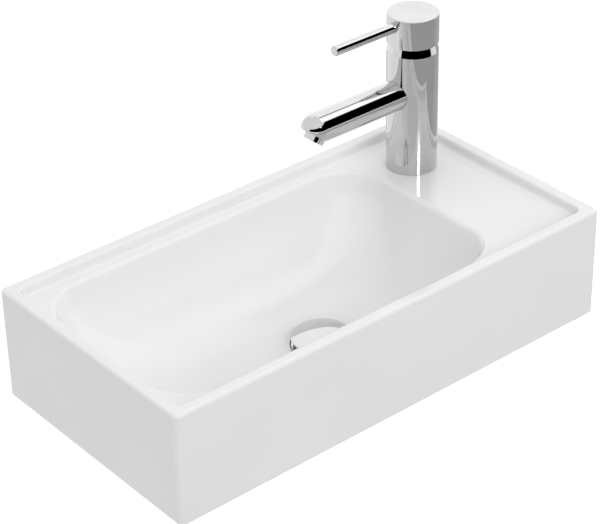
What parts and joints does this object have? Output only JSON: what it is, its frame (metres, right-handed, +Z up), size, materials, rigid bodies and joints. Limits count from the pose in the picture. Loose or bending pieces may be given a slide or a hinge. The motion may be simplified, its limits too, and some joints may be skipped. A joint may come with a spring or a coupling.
{
  "type": "vanity basin",
  "caption": "Oblong white ceramic wall basin with a raised rim, a sunken bowl, a chromed pin-lever mixer tap on its side deck and a push-button waste.",
  "frame": {"origin": "midway between the two wall fixing holes, on the basin's back face", "axes": "+X along the wall towards the tap end, +Y out of the back face into the wall, +Z up"},
  "size_m": [0.5, 0.26, 0.3105],
  "materials": {
    "glaze": "white gloss glaze",
    "chrome": "polished chrome plate on brass",
    "rubber": "matt black",
    "disc_ceramic": "lapped white alumina",
    "white_plastic": "moulded, matt",
    "grey_plastic": "moulded, matt",
    "steel": "zinc-plated or stainless",
    "brass": "turned"
  },
  "bodies": {
    "basin": {"basin_body": "glaze", "tap_body": "chrome", "spout": "chrome", "aerator_housing": "chrome", "tap_collar": "chrome", "waste_body": "chrome", "aerator_seal": "rubber", "base_seal": "rubber", "clamp_pad": "rubber", "cartridge_seals": "rubber", "flange_seal": "rubber", "lower_seal": "rubber", "fixed_disc": "disc_ceramic", "aerator_insert": "white_plastic", "slip_washer": "white_plastic", "cartridge_base": "grey_plastic", "cartridge_housing": "grey_plastic", "click_sleeve": "grey_plastic", "tap_stud": "steel", "clamp_plate": "steel", "clamp_nut": "steel", "click_spring": "steel", "cartridge_nut": "brass", "waste_backnut": "brass"},
    "rotor": {"cartridge_rotor": "grey_plastic", "stem_pin": "steel"},
    "handle": {"cartridge_stem": "brass", "handle_cap": "chrome", "lever": "chrome", "grub_screw": "steel"},
    "disc": {"moving_disc": "disc_ceramic", "disc_carrier": "grey_plastic"},
    "plug": {"plug_cap": "chrome", "plug_seal": "rubber", "plunger": "brass"}
  },
  "joints": [
    {"name": "handle_swing", "type": "hinge", "parent": "basin", "child": "rotor", "pos_m": [0.19, -0.0645, 0.1778], "axis": [0, 0, 1], "range_deg": [-45, 45]},
    {"name": "handle_lift", "type": "hinge", "parent": "rotor", "child": "handle", "pos_m": [0.19, -0.0645, 0.1778], "axis": [0, 1, 0], "range_deg": [0, 25]},
    {"name": "disc_slide", "type": "slide", "parent": "rotor", "child": "disc", "axis": [1, 0, 0], "range_m": [-0.0034, 0]},
    {"name": "plug_push", "type": "slide", "parent": "basin", "child": "plug", "axis": [0, 0, 1], "range_m": [-0.007, 0], "deforming": ["click_spring"]}
  ],
  "couplings": [
    {"joint": "disc_slide", "follows": "handle_lift", "m_per_rad": -0.00775}
  ]
}
